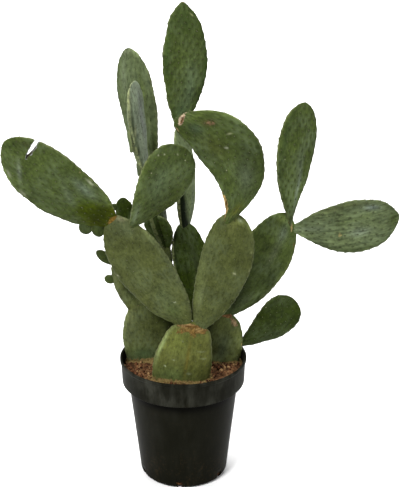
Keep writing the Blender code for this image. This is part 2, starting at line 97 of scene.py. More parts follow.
PADS = {
    "pad_base_front": pad("soil", "young", spots=0.15, bloom=0.1, joint=0.2, blunt=10,
        tones=[(0.75, 0.82, 0.05, 18, 22), (1.45, 0.5, 0.95, 46, 9), (1.3, 0.42, -0.1, 14, 60)],
        patches=[("#6f7838", 0.6, 0.78, -0.3, 34, 34), ("#4f6038", 0.6, 0.4, -0.3, 26, 50),
            ("#93a268", 0.9, 0.72, -0.93, 40, 4), ("#464d26", 0.6, 0.6, 0.95, 60, 5),
            ("#6b6026", 0.7, 0.6, 0.12, 50, 4), ("#4a4a1e", 0.5, 0.55, 0.3, 44, 4),
            ("#b4bf9c", 0.8, 0.44, 0.25, 1.5, 5), ("#a3ae84", 0.7, 0.7, 0.6, 1.2, 8),
            ("#a3ae84", 0.7, 0.62, 0.68, 1.2, 6), ("#a3ae84", 0.7, 0.58, -0.35, 1.5, 3),
            ("#a3ae84", 0.7, 0.8, -0.2, 1.5, 2), ("#bcc6a0", 0.7, 0.5, -0.6, 1.5, 2)],
        corks=[("#7d6638", 0.7, 0.93, 0.15, 8, 34), ("#a98c5c", 0.9, 0.965, -0.35, 4, 16),
            ("#a98c5c", 0.8, 0.93, 0.55, 5, 12), ("#5c3f1c", 0.9, 0.955, 0.1, 2, 16),
            ("#846838", 0.6, 0.88, 0.2, 16, 10), ("#846838", 0.5, 0.89, -0.45, 8, 12),
            ("#846838", 0.5, 0.9, 0.7, 8, 8), ("#a8905c", 0.85, 0.325, 0.0, 8, 90)]),
    "pad_base_left": pad("soil", "olive", spots=0.2, shade=0.86, bloom=0.3, joint=0.25,
        tones=[(0.32, 0.62, 0.8, 32, 15), (1.7, 0.42, -0.3, 22, 60), (1.5, 0.72, -0.95, 60, 6)],
        patches=[("#20290c", 0.85, 0.83, 0.5, 30, 20, 40), ("#2a3212", 0.6, 0.6, 0.7, 50, 14),
            ("#5a5f3e", 0.5, 0.75, -0.8, 50, 10), ("#42563a", 0.6, 0.4, -0.3, 16, 40)],
        corks=[("#a08a58", 0.8, 0.32, -0.2, 8, 80), ("#93744a", 0.4, 0.93, -0.6, 5, 6)]),
    "pad_base_right": pad("soil", "olive", spots=0.2, shade=1.2, bloom=0.35, joint=0.25,
        tones=[(0.5, 0.75, -0.5, 44, 22), (1.8, 0.45, 0.3, 40, 30), (1.5, 0.6, 0.85, 60, 14)],
        patches=[("#2c3518", 0.8, 0.7, -0.6, 50, 16), ("#4f5a44", 0.7, 0.55, 0.3, 44, 14)],
        corks=[("#b09670", 1.0, 0.89, 0.72, 10, 8), ("#8c6844", 1.0, 0.965, 0.25, 6, 12),
            ("#b8aa6c", 0.8, 0.62, 0.98, 5, 3), ("#a08a58", 0.8, 0.36, 0.3, 7, 80)]),
    "pad_front_left": pad("pad_base_front", "olive", spots=0.2, shade=0.86, stout=8,
        tones=[(0.74, 0.9, -0.1, 24, 34), (1.4, 0.78, 0.95, 32, 6), (1.2, 0.35, 0.0, 50, 44)],
        patches=[("#918d6e", 0.7, 0.95, 0.75, 9, 8), ("#68724e", 0.6, 0.88, 0.5, 22, 14),
            ("#6a7450", 0.6, 0.5, 0.93, 90, 4), ("#46552a", 0.5, 0.2, 0.0, 22, 14),
            ("#5f6c46", 0.5, 0.34, 0.1, 26, 16), ("#b0ba98", 0.9, 0.25, 0.35, 2, 2),
            ("#b9bb94", 0.9, 0.6, -0.93, 3, 2), ("#3a4420", 0.6, 0.45, -1.0, 60, 4),
            ("#4a5230", 0.4, 0.62, -0.3, 40, 12)],
        corks=[("#6f6032", 0.6, 0.98, 0.1, 5, 18)]),
    "pad_front_right": pad("pad_base_front", "olive", spots=0.25, shade=0.84, stout=6,
        tones=[(1.6, 0.95, 0.1, 9, 44), (1.3, 0.3, -0.7, 44, 12), (0.75, 0.28, 0.6, 26, 10),
            (1.5, 0.93, 0.95, 16, 5)],
        patches=[("#636c42", 0.6, 0.5, -0.85, 90, 9), ("#434a26", 0.6, 0.32, 0.8, 34, 10),
            ("#b9bd94", 0.9, 0.56, 0.44, 2.5, 2.5), ("#8b9162", 0.7, 0.75, 0.9, 4, 2),
            ("#8b9162", 0.7, 0.61, 0.95, 4, 2), ("#7c8668", 0.8, 0.965, 0.4, 5, 6),
            ("#5f6434", 0.5, 0.9, -0.1, 20, 16), ("#c5c8a8", 0.8, 0.92, -0.45, 2, 2),
            ("#4a5129", 0.5, 0.6, 0.25, 60, 8), ("#6e7752", 0.4, 0.3, -0.6, 40, 6)],
        corks=[("#a8a06a", 0.6, 0.25, 0.84, 8, 1.6), ("#8d6a3c", 0.8, 0.97, -0.25, 5, 8)]),
    "pad_rear_left": pad("pad_base_left", "olive", spots=0.2, shade=0.98, bloom=0.4,
        patches=[("#232b10", 0.85, 0.3, -0.35, 44, 9, 35), ("#5c6044", 0.5, 0.35, -0.9, 40, 8)]),
    "pad_rear_right": pad("pad_base_right", "leaf", spots=0.2, shade=1.12, bloom=0.3,
        tones=[(0.36, 0.3, -0.45, 62, 28), (2.0, 0.33, 0.62, 34, 15), (2.4, 0.95, 0.0, 10, 60),
            (1.5, 0.82, 0.0, 28, 40), (1.4, 0.6, 0.92, 60, 8)],
        patches=[("#2a3414", 0.9, 0.45, -0.85, 80, 14), ("#222c0c", 0.6, 0.2, -0.1, 30, 20),
            ("#66725c", 0.8, 0.85, 0.15, 22, 12), ("#59604a", 0.6, 0.68, 0.15, 30, 10),
            ("#5c6632", 0.6, 0.55, 0.9, 60, 7), ("#7b865a", 0.7, 0.37, 0.85, 18, 3),
            ("#566044", 0.6, 0.27, 0.4, 20, 9), ("#56602f", 0.5, 0.93, -0.4, 16, 12)],
        corks=[("#d0bc80", 1.0, 0.925, 0.58, 12, 3), ("#84572e", 0.8, 0.945, 0.4, 5, 4),
            ("#7a6438", 0.6, 0.8, 0.85, 14, 4)]),
    "pad_rear_middle": pad("pad_base_right", "deep", spots=0.2, shade=1.35, stout=20,
        tones=[(0.55, 0.88, -0.5, 30, 18), (1.3, 0.5, -0.8, 40, 10)],
        patches=[("#6a7454", 0.7, 0.985, 0.3, 5, 9), ("#12180a", 0.8, 0.85, -0.95, 50, 5),
            ("#3b412e", 0.5, 0.6, 0.1, 70, 7), ("#1c240c", 0.5, 0.5, 0.6, 60, 10)]),
    "pad_low_right": pad("pad_base_right", "deep", spots=0.2, shade=0.95,
        tones=[(1.6, 0.12, -0.6, 12, 14), (0.7, 0.8, -0.8, 26, 8), (0.8, 0.4, 0.5, 30, 14)],
        patches=[("#3d4a24", 0.4, 0.7, -0.2, 30, 16), ("#566240", 0.5, 0.9, -0.7, 14, 3)]),
    "pad_bent_top": pad("pad_front_right", "leaf", spots=0.5, shade=0.95, bloom=0.36, stout=9, blunt=6,
        tones=[(0.6, 0.5, 0.5, 60, 24), (1.8, 0.85, 0.95, 30, 7), (1.9, 0.96, 0.1, 7, 24),
            (1.7, 0.78, -0.92, 24, 6), (1.5, 0.33, -0.95, 24, 6), (1.3, 0.12, 0.6, 12, 10)],
        patches=[("#6a5238", 0.5, 0.87, 0.25, 7, 12), ("#a2a67e", 0.9, 0.735, 0.42, 2, 5),
            ("#d4d8bc", 1.0, 0.64, 0.03, 2.4, 2.4), ("#465648", 0.5, 0.86, -0.3, 14, 16),
            ("#474b22", 0.5, 0.68, -0.25, 34, 22), ("#5d6850", 0.7, 0.37, 0.25, 34, 20),
            ("#5e6028", 0.6, 0.13, 0.0, 12, 12), ("#35411c", 0.6, 0.6, 0.93, 70, 6)],
        corks=[("#dcc4a4", 1.0, 0.965, -0.5, 18, 6, -50), ("#7d5434", 0.9, 0.955, -0.5, 9, 2.2, -50),
            ("#94785a", 0.62, 0.865, 0.28, 8, 13), ("#a8956a", 0.7, 0.9, -0.92, 9, 2.5),
            ("#c8ac70", 1.6, 0.2, -0.97, 24, 7), ("#5c4420", 0.8, 0.2, -0.85, 10, 2)]),
    "pad_far_left": pad("pad_front_left", "leaf", spots=0.5, shade=0.96, bloom=0.28, stout=9, split=True,
        tones=[(1.7, 0.8, -0.97, 52, 8), (0.8, 0.5, -0.6, 40, 14), (1.7, 0.17, 0.95, 22, 5),
            (0.46, 0.14, -0.1, 34, 32), (1.2, 0.75, 0.3, 20, 30)],
        patches=[("#454f06", 2.0, 0.11, 0.0, 34, 36), ("#404c06", 1.6, 0.22, 0.15, 26, 20),
            ("#404c06", 1.3, 0.26, -0.15, 18, 16), ("#3d4c1c", 0.7, 0.31, 0.3, 15, 10),
            ("#66735e", 0.8, 0.37, 0.62, 34, 11), ("#6c7862", 0.4, 0.42, 0.1, 30, 8, -30),
            ("#78836c", 0.8, 0.79, -0.37, 22, 5, -44), ("#8b9076", 0.6, 0.83, -0.8, 9, 4),
            ("#94967e", 0.6, 0.66, -0.86, 10, 4), ("#a6ab8e", 0.8, 0.37, 0.92, 10, 2.5),
            ("#2b3516", 0.8, 0.35, -0.97, 60, 4), ("#3c3f1e", 0.6, 0.87, 0.7, 18, 8),
            ("#3f4f24", 0.6, 0.96, 0.1, 10, 14), ("#3f4c22", 0.6, 0.5, -0.5, 44, 12)],
        corks=[("#8f8660", 0.6, 0.475, 0.93, 5, 3), ("#80662c", 0.8, 0.06, 0.35, 8, 12)]),
    "pad_centre_left": pad("pad_front_left", "leaf", spots=0.6, shade=0.88, bloom=0.3,
        tones=[(1.45, 0.55, -0.95, 90, 6), (0.68, 0.38, 0.2, 46, 16), (0.75, 0.97, 0.1, 7, 30)],
        patches=[("#3f481e", 0.7, 0.4, 0.75, 56, 14), ("#5b6a4e", 0.5, 0.62, -0.2, 44, 16),
            ("#748068", 0.5, 0.2, -0.55, 24, 4), ("#a9ad8c", 0.8, 0.87, -0.6, 1.6, 1.6),
            ("#a9ad8c", 0.8, 0.84, -0.78, 1.6, 1.6), ("#a9ad8c", 0.7, 0.92, -0.05, 1.6, 1.6),
            ("#3d4a26", 0.5, 0.8, 0.85, 24, 7)]),
    "pad_middle_link": pad("pad_rear_middle", "pale", spots=0.3, shade=1.8, stout=4,
        tones=[(0.55, 0.18, -1.0, 44, 12), (1.5, 0.3, 0.95, 90, 5)],
        patches=[("#121c08", 2.0, 0.25, -1.0, 60, 15), ("#121c08", 1.5, 0.08, -0.8, 30, 20),
            ("#738068", 0.7, 0.3, 0.35, 60, 5), ("#5c6a48", 0.5, 0.75, -0.2, 40, 16)]),
    "pad_crown": pad("pad_middle_link", "leaf", spots=0.6, bloom=0.3, blunt=5,
        tones=[(0.74, 0.86, -0.1, 34, 34), (1.3, 0.48, 0.2, 34, 22), (0.8, 0.32, 0.6, 16, 9),
            (1.3, 0.6, 0.95, 40, 5), (1.25, 0.17, 0.3, 14, 24)],
        patches=[("#374c1e", 0.7, 0.6, -0.88, 70, 8), ("#31441c", 0.7, 0.5, 0.92, 80, 7),
            ("#3e5022", 0.6, 0.88, 0.0, 34, 26), ("#5a6a50", 0.6, 0.38, 0.25, 50, 14),
            ("#45583e", 0.6, 0.18, -0.2, 26, 14), ("#aab07c", 0.8, 0.91, 0.62, 4, 2, 30),
            ("#2a3816", 0.8, 0.12, -0.75, 24, 5)],
        corks=[("#8a7a4e", 0.8, 1.0, 0.0, 3, 5)]),
    "pad_left_link": pad("pad_rear_left", "deep", spots=0.3, shade=0.9,
        tones=[(0.6, 0.25, -0.6, 30, 20)]),
    "pad_left_edge": pad("pad_left_link", "grey", spots=0.15, shade=1.9, streak=1.0, rim=0.7,
        tones=[(0.55, 0.7, -0.9, 36, 6), (1.2, 0.3, 0.2, 30, 20)],
        patches=[("#4a5630", 0.8, 0.62, -0.9, 60, 5), ("#a0a67c", 0.9, 0.9, -0.98, 26, 4),
            ("#a0a67c", 0.9, 0.62, -0.8, 14, 3, -20), ("#8a908c", 0.7, 0.7, 0.2, 60, 12),
            ("#2c351c", 0.9, 0.45, -0.9, 14, 4), ("#3c4624", 0.8, 0.32, -0.9, 20, 5),
            ("#5c625c", 0.6, 0.3, 0.0, 30, 10)]),
    "pad_left_crown": pad("pad_left_link", "pale", spots=0.25, streak=0.8,
        tones=[(1.5, 0.42, 0.85, 30, 8), (1.6, 0.95, 0.85, 16, 6), (0.8, 0.95, -0.7, 18, 10)],
        patches=[("#4a5628", 0.7, 0.3, 0.92, 40, 8), ("#848e6c", 0.7, 0.975, -0.2, 6, 18),
            ("#707a62", 0.5, 0.8, -0.4, 50, 9), ("#7c8a5a", 0.8, 0.47, 0.65, 18, 4),
            ("#55632f", 0.5, 0.7, 0.55, 40, 8)],
        corks=[("#989a66", 0.8, 0.3, -0.95, 16, 3), ("#35361a", 0.8, 0.38, -0.9, 9, 3)]),
    "pad_right_crown": pad("pad_rear_right", "leaf", spots=0.65, shade=1.12, bloom=0.38, blunt=6,
        tones=[(1.65, 0.28, 0.2, 44, 34), (0.8, 0.83, -0.3, 26, 24), (1.4, 0.35, -0.95, 30, 5)],
        patches=[("#37452a", 0.6, 0.75, -0.75, 60, 8), ("#74806c", 0.8, 0.35, 0.3, 60, 5),
            ("#647058", 0.6, 0.52, 0.1, 34, 7), ("#33401e", 0.6, 0.35, -0.9, 50, 4),
            ("#5b663c", 0.6, 0.9, 0.8, 26, 4)]),
    "pad_right_wing": pad("pad_rear_right", "pale", spots=0.7, bloom=0.35, streak=1.3, blunt=8,
        tones=[(0.66, 0.6, -0.8, 54, 13), (0.76, 0.93, 0.1, 16, 50), (2.1, 0.13, 0.0, 26, 34),
            (1.25, 0.64, 0.4, 26, 16), (0.75, 0.42, 0.85, 26, 8)],
        patches=[("#3e4a26", 0.7, 0.6, 0.88, 60, 6), ("#59613a", 0.7, 0.55, -0.88, 70, 6),
            ("#3f4a20", 0.7, 0.95, 0.1, 12, 18), ("#7b877c", 0.8, 0.78, -0.7, 18, 6),
            ("#79856f", 0.8, 0.66, 0.2, 26, 10), ("#46522c", 0.6, 0.62, -0.3, 50, 4, 8),
            ("#727e66", 0.6, 0.25, -0.1, 36, 6)],
        corks=[("#a09a66", 0.68, 0.49, 0.22, 7, 8)]),
    "pad_round_small": pad("pad_rear_left", "deep", spots=0.3, shade=0.95),
    "pad_inner_small": pad("pad_rear_left", "deep", spots=0.2, shade=1.0,
        patches=[("#6c7854", 0.8, 0.95, -0.5, 6, 16)]),
    "bud_rear_left_upper": pad("pad_rear_left", "leaf", shade=0.7),
    "bud_rear_left_lower": pad("pad_rear_left", "leaf", shade=0.8),
    "bud_far_left_outer": pad("pad_far_left", "leaf", shade=0.6),
    "bud_far_left_inner": pad("pad_far_left", "leaf", shade=0.7),
    "bud_left_edge_upper": pad("pad_left_edge", "pale", shade=1.1),
    "bud_left_edge_lower": pad("pad_left_edge", "pale", shade=0.8),
    "bud_round_small": pad("pad_round_small", "leaf", shade=0.7),
}
ROOTED = [name for name, look in PADS.items() if look["on"] == "soil"]
print(len(PADS), "pads and buds,", len(ROOTED), "of them rooted in the soil")

# %% [markdown]
# ## Reading a pad off its solid
#
# The frame's pads are coarse, with flat facets. A real pad's outline is one smooth line, so the
# outline is read as slices across the pad and then drawn with a short sum of sines. The sines are
# all zero at the two ends, which closes the pad there with round ends, as a growing tip does. The
# foot of a pad runs on into the pad below it, so that no gap shows between the two.

# %% Slices and sums of sines
TRIMMED_WITHIN = 1.2 * MM  # a solid ends this near to its parent where it was trimmed
OUTLINE_TERMS = 8
MIDDLE_TERMS = 5
THICK_TERMS = 4
DEPTH_TERMS = 2
SMOOTHING = 2e-5
ON_THE_EDGE = 0.3 * MM     # a corner this near to its slice's edge belongs to the outline
CUT_BACK = 2 * MM          # one this far inside it was cut back for a neighbour
SINK = 13 * MM             # how far a pad runs on into its parent
BUD_SINK = 3 * MM
PLUMPNESS = 1.5 * MM       # flat facets cut a curve's corners, and this gives them back


def triangles_of(name):
    solid = solids[name].data
    solid.calc_loop_triangles()
    points = np.array([v.co for v in solid.vertices])
    return points, np.array([t.vertices for t in solid.loop_triangles])


def surface_tree(name):
    points, triangles = triangles_of(name)
    return BVHTree.FromPolygons([tuple(p) for p in points], [tuple(int(i) for i in t) for t in triangles])


trees = {name: surface_tree(name) for name in solids}


def distance_to(name, points):
    return np.array([trees[name].find_nearest(tuple(p))[3] for p in points])


def smooth(low, high, value):
    share = np.clip((value - low) / (high - low), 0, 1)
    return share * share * (3 - 2 * share)


def sines(theta, terms):
    return np.sin(np.multiply.outer(theta, np.arange(1, terms + 1)))


def cosines(theta, terms):
    return np.cos(np.multiply.outer(theta, np.arange(terms)))


def fitted(basis, values, orders):
    """The sum that follows the values, held back from wild turns where nothing is known."""
    stiff = SMOOTHING * len(values) * np.diag(orders.astype(float) ** 4)
    return np.linalg.solve(basis.T @ basis + stiff, basis.T @ values)


class Paddle:
    """A pad's own directions and its smooth outline, read off its solid."""

    def __init__(self, name):
        self.name = name
        self.bud = name.startswith("bud")
        points, triangles = triangles_of(name)
        corners = points[triangles]
        areas = np.linalg.norm(
            np.cross(corners[:, 1] - corners[:, 0], corners[:, 2] - corners[:, 0]), axis=1)
        centre = np.average(corners.mean(1), axis=0, weights=areas)
        away = corners.mean(1) - centre
        out = np.linalg.eigh((away * areas[:, None]).T @ away)[1][:, 0]
        self.out = out if out[1] < 0 else -out
        if name in ROOTED:
            near = points[[points[:, 2].argmin()]]
        else:
            gaps = distance_to(PADS[name]["on"], points)
            near = points[gaps < max(TRIMMED_WITHIN, gaps.min() * 1.5)]
        joint = near.mean(0)
        tip = points[np.linalg.norm(points - joint, axis=1).argmax()]
        along = tip - joint
        along -= self.out * (along @ self.out)
        self.along = along / np.linalg.norm(along)
        self.across = np.cross(self.along, self.out)
        self.origin = joint
        heights = (points - joint) @ self.along
        if name in ROOTED:
            trimmed = self.low = heights.min()
        else:
            seat = (near - joint) @ self.along
            trimmed = seat.max()
            self.low = seat.min() - (BUD_SINK if self.bud else SINK)
        self.high = heights.max() + (0.3 if self.bud else 0.8) * MM
        self.length = self.high - self.low
        self.fit(points, triangles, heights, trimmed)

    def theta_of(self, height):
        return np.arccos(np.clip(1 - 2 * (height - self.low) / self.length, -1, 1))

    def fit(self, points, triangles, heights, trimmed):
        """Draws one smooth curve through the corners of the solid's outline, on both sides at once."""
        edges = np.vstack([triangles[:, [0, 1]], triangles[:, [1, 2]], triangles[:, [2, 0]]])
        a, b = edges.T
        side, face = (points - self.origin) @ self.across, (points - self.origin) @ self.out
        # Only slices above the trimmed foot tell the outline
        first = self.theta_of(min(trimmed + 1.5 * MM, self.high - 0.4 * self.length))
        corners, slices = [], []
        for index in np.nonzero((self.theta_of(heights) > first) & (heights < self.high - 0.2 * MM))[0]:
            level = heights[index] + 1e-7
            crossed = (heights[a] - level) * (heights[b] - level) < 0
            if crossed.sum() < 4:
                continue
            i, j = a[crossed], b[crossed]
            share = (level - heights[i]) / (heights[j] - heights[i])
            cut = side[i] + (side[j] - side[i]) * share
            deep = face[i] + (face[j] - face[i]) * share
            theta = self.theta_of(level)
            slices.append((theta, deep.min(), deep.max()))
            for hand, edge in ((1, cut.max()), (-1, cut.min())):
                if hand * (edge - side[index]) < ON_THE_EDGE:
                    corners.append((theta, hand, side[index]))
        # Corners that were cut back for a neighbour are dropped, and the rest are fitted again
        theta, hand, edge = np.array(corners).T
        shapes = np.hstack([sines(theta, OUTLINE_TERMS) * hand[:, None], cosines(theta, MIDDLE_TERMS)])
        orders = np.concatenate([np.arange(OUTLINE_TERMS), np.arange(MIDDLE_TERMS)])
        keep = np.ones(len(theta), bool)
        for _ in range(4):
            found = fitted(shapes[keep], edge[keep], orders)
            miss = hand * (edge - shapes @ found)
            keep = miss > -CUT_BACK
        self.halves, self.middles = found[:OUTLINE_TERMS], found[OUTLINE_TERMS:]
        theta, back, front = np.array(slices).T
        self.thicks = fitted(sines(theta, THICK_TERMS), (front - back) / 2, np.arange(THICK_TERMS))
        self.depths = fitted(cosines(theta, DEPTH_TERMS), (front + back) / 2, np.arange(DEPTH_TERMS))
        self.widest = max((sines(np.linspace(0, math.pi, 90), OUTLINE_TERMS) @ self.halves).max(), 1 * MM)
        self.error = np.abs(miss[keep]).max()
        self.corners = int(keep.sum())

    def section(self, theta):
        """Height along the pad, half width, middle, half thickness and depth of one or many sections."""
        look, station = PADS[self.name], (1 - np.cos(theta)) / 2
        height = self.low + self.length * station
        half = np.maximum(sines(theta, OUTLINE_TERMS) @ self.halves, 0.0) + PLUMPNESS * np.sin(theta)
        half = half + look["blunt"] * MM * np.sin(theta) * smooth(0.72, 1.0, station)
        half = half + look["stout"] * MM * np.sin(theta) * (1 - smooth(0.05, 0.45, station))
        thick = np.maximum(sines(theta, THICK_TERMS) @ self.thicks, 0.0)
        middle = cosines(theta, MIDDLE_TERMS) @ self.middles
        return height, half, middle, thick, cosines(theta, DEPTH_TERMS) @ self.depths

    def place(self, height, aside, outward):
        return (self.origin + np.multiply.outer(height, self.along)
                + np.multiply.outer(aside, self.across) + np.multiply.outer(outward, self.out))


paddles = {name: Paddle(name) for name in PADS}
for name, paddle in paddles.items():
    print(f"{name}: {paddle.length / MM:.0f} mm long, {2 * paddle.widest / MM:.0f} mm wide,"
          f" outline of {paddle.corners} corners within {paddle.error / MM:.1f} mm")

# %% [markdown]
# ## Skin that is not quite flat
#
# The faces of a pad swell and sink by about a millimetre, and its rim is knobbly, with a small
# shoulder under each cushion of spines. The rest is drawn by the materials, which need to know
# where on the pad they are. So each point carries its place along and across the pad, how close
# it is to the rim, and where it lies among the cushions.
#
# The cushions, called areoles, sit in two sets of crossing diagonal rows. The rows draw together
# where the pad narrows to its neck.

# %% Points and rows of areoles
SPACING = 2.9 * MM         # between points of the skin
FULLNESS = 0.8             # below 1, a section is fuller than an ellipse
SWELLING = 0.7 * MM
SWELLS = 55 * MM
SHOULDER = 0.6 * MM
RIM_PITCH = 15 * MM
RIM_WIDTH = 3 * MM
ROW_ACROSS = 14 * MM
ROW_ALONG = 23 * MM
DRAWN_IN = 0.5             # how much the rows draw together where the pad narrows
DRIFT = 0.16               # of a row, by which they wander


def ripple(x, y, size, seed, waves=7):
    """Smooth made-up unevenness, mostly between -1 and 1, with features about size across."""
    rng = np.random.default_rng(seed)
    total = np.zeros(np.broadcast(x, y).shape)
    for _ in range(waves):
        angle, phase = rng.uniform(0, math.tau, 2)
        pitch = size * rng.uniform(0.7, 1.6)
        total += np.sin((x * math.cos(angle) + y * math.sin(angle)) * math.tau / pitch + phase)
    return total / math.sqrt(waves)


def row_numbers(paddle, height, aside, half, front, seed):
    """Where a point lies among the two sets of rows. An areole sits at each pair of whole numbers."""
    spread = aside * (paddle.widest / np.maximum(half, 1 * MM)) ** DRAWN_IN
    drift = DRIFT * ripple(height, spread, 70 * MM, seed)
    other = DRIFT * ripple(height, spread, 60 * MM, seed + 50)
    shift = np.where(front, 0.0, 0.37)
    up = (height - paddle.low) / ROW_ALONG
    return spread / ROW_ACROSS + up + drift + shift, up - spread / ROW_ACROSS + other + shift


class Skin:
    """A pad's grid of points, from its base to its tip and round it, with what each point knows."""

    def __init__(self, paddle, seed):
        self.paddle, self.seed = paddle, seed
        self.rows = max(14, round(math.pi / 2 * paddle.length / SPACING))
        self.columns = max(16, 2 * round(math.pi * paddle.widest / SPACING))
        self.theta = np.linspace(0, math.pi, self.rows + 1)[:, None]
        self.phi = np.linspace(0, math.tau, self.columns, endpoint=False)[None, :]
        height, half, middle, thick, depth = (part[:, None] for part in paddle.section(self.theta[:, 0]))
        self.front = np.sin(self.phi) >= 0
        cos, sin = np.cos(self.phi), np.sin(self.phi)
        self.aside = half * cos
        bulge = thick * np.sign(sin) * np.abs(sin) ** FULLNESS
        self.height = height + 0 * cos
        self.half = half + 0 * cos
        self.station = (self.height - paddle.low) / paddle.length
        face = np.where(self.front, 0.0, 0.5)
        swell = SWELLING * ripple(height + face, self.aside, SWELLS, seed)
        inset = np.minimum(self.half - np.abs(self.aside), paddle.high - self.height)
        self.rim = np.exp(-np.maximum(inset, 0) / RIM_WIDTH)
        knobs = SHOULDER * self.rim * np.cos(math.tau * (height + 0.3 * self.aside) / RIM_PITCH) ** 3
        if paddle.bud:
            swell, knobs = swell * 0.3, knobs * 0.3
        size = np.hypot(cos / np.maximum(half, MM), sin / np.maximum(thick, MM))
        push = swell + knobs
        push_aside = push * cos / np.maximum(half, MM) / size
        push_out = push * sin / np.maximum(thick, MM) / size
        closed = smooth(0, 0.05, np.sin(self.theta))
        self.points = paddle.place(
            self.height, middle + self.aside + push_aside * closed, depth + bulge + push_out * closed)
        upward = np.gradient(self.points, axis=0)
        onward = np.roll(self.points, -1, axis=1) - np.roll(self.points, 1, axis=1)
        normals = np.cross(upward, onward)
        self.normals = normals / np.maximum(np.linalg.norm(normals, axis=2, keepdims=True), 1e-12)
        self.numbers = row_numbers(paddle, self.height, self.aside, self.half, self.front, seed)

    def at(self, height, aside_share, front):
        """A point and its normal on a face, from a height and a share of the half width there."""
        row = self.paddle.theta_of(height) / math.pi * self.rows
        phi = np.arccos(np.clip(aside_share, -1, 1))
        column = (phi if front else math.tau - phi) / math.tau * self.columns
        i, j = int(row), int(column)
        i = min(i, self.rows - 1)
        a, b = row - i, column - j
        j, k = j % self.columns, (j + 1) % self.columns
        found = []
        for grid in (self.points, self.normals):
            found.append((grid[i, j] * (1 - b) + grid[i, k] * b) * (1 - a)
                         + (grid[i + 1, j] * (1 - b) + grid[i + 1, k] * b) * a)
        return found[0], found[1] / np.linalg.norm(found[1])

    def areoles(self):
        """Every place on the two faces where the rows cross, as points and normals."""
        paddle = self.paddle
        most = int(paddle.length / ROW_ALONG + 2 * paddle.widest / ROW_ACROSS) + 3
        first, second = (grid.ravel() for grid in np.mgrid[-most:most + 1, -most:most + 1])
        for front in (True, False):
            height, aside = np.full(len(first), paddle.low), np.zeros(len(first))
            for _ in range(6):
                height = np.clip(height, paddle.low - 0.1, paddle.high + 0.1)
                half = np.maximum(paddle.section(paddle.theta_of(height))[1], MM)
                a, b = row_numbers(paddle, height, aside, half, front, self.seed)
                height = height + (first - a + second - b) / 2 * ROW_ALONG
                aside = aside + (first - a - second + b) / 2 * ROW_ACROSS * (half / paddle.widest) ** DRAWN_IN
            inside = ((height > paddle.low + 6 * MM) & (height < paddle.high - 4 * MM)
                      & (np.abs(aside) < half - 5 * MM) & (np.abs(first - a) + np.abs(second - b) < 0.1))
            for index in np.nonzero(inside)[0]:
                yield self.at(height[index], aside[index] / half[index], front)

    def rim_areoles(self):
        """The closer row of areoles along the rim, up both sides and over the tip."""
        line, normals = (np.vstack([grid[1:-1, self.columns // 2], grid[1:-1, 0][::-1]])
                         for grid in (self.points, self.normals))
        run = np.concatenate([[0], np.cumsum(np.linalg.norm(np.diff(line, axis=0), axis=1))])
        for place in np.arange(RIM_PITCH, run[-1] - RIM_PITCH / 2, RIM_PITCH):
            index = int(np.searchsorted(run, place))
            yield line[index], normals[index]


skins = {name: Skin(paddles[name], 100 + 7 * index) for index, name in enumerate(PADS)}
print(sum(skin.rows * skin.columns for skin in skins.values()), "quads of skin")

# %% [markdown]
# ## Meshes
#
# An areole is a small cushion of brown felt, and glochids, short straw-coloured bristles, stand
# in it. Both are part of the pad, so they are built into its mesh, with materials of their own.

# %% Meshes and areoles
CUSHION = (1.3 * MM, 2.0 * MM, 0.9 * MM)
CUSHION_SIDES = 7
BRISTLE_LENGTH = 2.6 * MM
BRISTLE_WIDTH = 0.22 * MM
THIRDS = (0, math.tau / 3, 2 * math.tau / 3)
SKIN, FELT, BRISTLE, WOUND = range(4)


class MeshParts:
    """Collects points, faces and materials for one mesh."""

    def __init__(self):
        self.points, self.faces, self.kinds = [], [], []

    def add(self, points, faces, kind):
        start = len(self.points)
        self.points.extend(points)
        self.faces.extend(tuple(start + i for i in face) for face in faces)
        self.kinds.extend([kind] * len(faces))

    def mesh(self, name, materials):
        mesh = bpy.data.meshes.new(name)
        mesh.from_pydata([tuple(p) for p in self.points], [], self.faces)
        for material in materials:
            mesh.materials.append(material)
        mesh.polygons.foreach_set("material_index", self.kinds)
        mesh.shade_smooth()
        return mesh


def grid_faces(rows, columns):
    """Quads between rings 1 to rows-1, and fans to the two end points that follow the grid."""
    faces = []
    low, high = (rows - 1) * columns, (rows - 1) * columns + 1
    for i in range(rows - 2):
        for j in range(columns):
            k = (j + 1) % columns
            faces.append((i * columns + j, (i + 1) * columns + j, (i + 1) * columns + k, i * columns + k))
    for j in range(columns):
        k = (j + 1) % columns
        faces.append((low, j, k))
        faces.append((high, (rows - 2) * columns + k, (rows - 2) * columns + j))
    return faces


